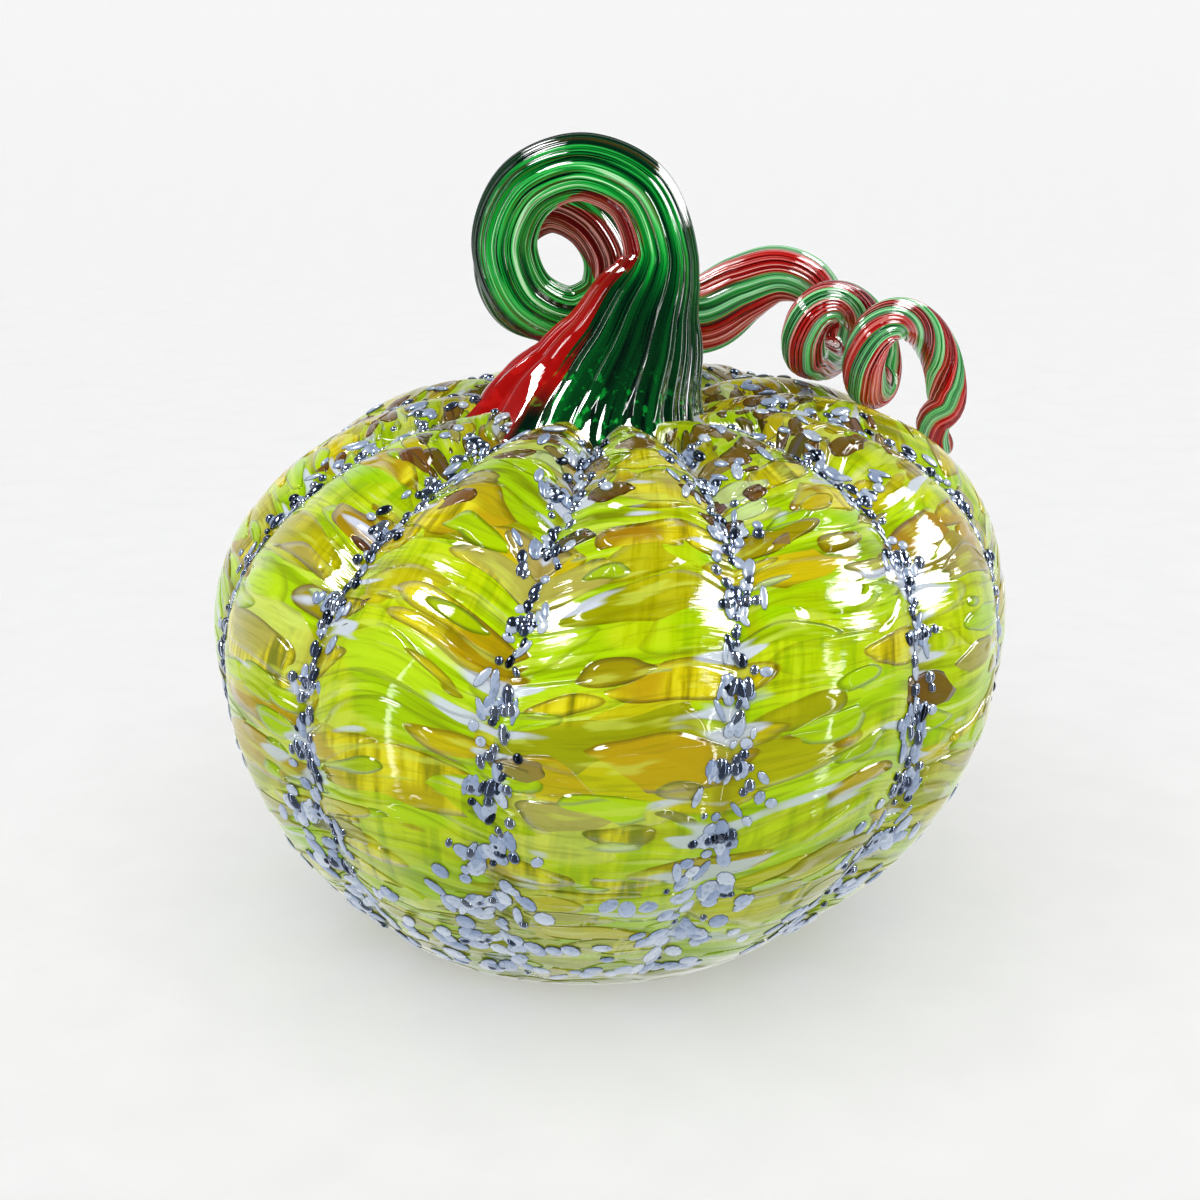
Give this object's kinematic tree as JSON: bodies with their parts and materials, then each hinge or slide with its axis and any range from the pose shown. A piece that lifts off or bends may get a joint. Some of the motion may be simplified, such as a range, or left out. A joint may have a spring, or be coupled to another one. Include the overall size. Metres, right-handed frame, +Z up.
{
  "type": "blown glass pumpkin",
  "caption": "Hollow blown glass pumpkin with lobed body, lines of silvered frit in the grooves, and a two-colour twisted stem that curls into a crook and a vine.",
  "frame": {"origin": "on the table, under the middle of the bounding box, which is the middle of the waist", "axes": "+Z up; the pictured front faces -Y; +X to the right, where the vine hangs"},
  "size_m": [0.1648, 0.1649, 0.1605],
  "materials": {
    "body_glass": "glossy, with chips of lime, amber, olive, lavender and brown glass melted into the skin",
    "green_glass": "glossy, finely fluted emerald",
    "red_glass": "glossy, finely fluted, nearly opaque red",
    "silver_frit": "silvered beads and pale blue-grey flakes, mirror bright"
  },
  "bodies": {
    "root": {"body_shell": "body_glass", "stem_green": "green_glass", "stem_red": "red_glass", "frit_row_01": "silver_frit", "frit_row_02": "silver_frit", "frit_row_03": "silver_frit", "frit_row_04": "silver_frit", "frit_row_05": "silver_frit", "frit_row_06": "silver_frit", "frit_row_07": "silver_frit", "frit_row_08": "silver_frit", "frit_row_09": "silver_frit", "frit_row_10": "silver_frit", "frit_row_11": "silver_frit", "frit_row_12": "silver_frit"}
  },
  "joints": []
}
